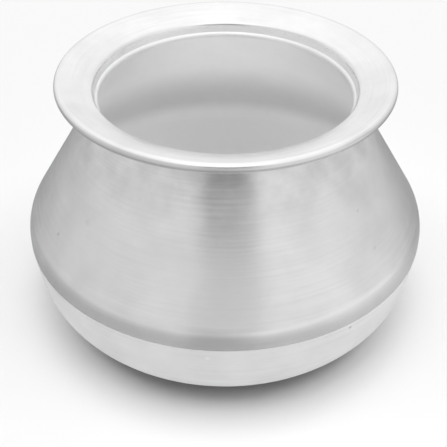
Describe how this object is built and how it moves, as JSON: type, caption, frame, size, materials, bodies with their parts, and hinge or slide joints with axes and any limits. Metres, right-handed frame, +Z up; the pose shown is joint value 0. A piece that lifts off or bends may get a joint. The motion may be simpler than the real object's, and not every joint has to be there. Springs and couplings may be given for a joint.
{
  "type": "handi pot",
  "caption": "Round-bellied handi pot spun from one aluminium sheet, with a conical shoulder, a narrow mouth, a broad flared rim and a rolled edge, for simmering rice, meat and curries.",
  "frame": {"origin": "middle of the flat base, on the surface that the pot stands on", "axes": "+Z up along the pot's axis, out of the mouth; the pot is a full turn about Z, so X and Y are free"},
  "size_m": [0.3006, 0.3004, 0.1955],
  "materials": {
    "aluminium": "bare spun aluminium: bright turned rings on the shoulder and rim, satin inside, duller matt below the belly crease"
  },
  "bodies": {
    "root": {"pot": "aluminium"}
  },
  "joints": []
}
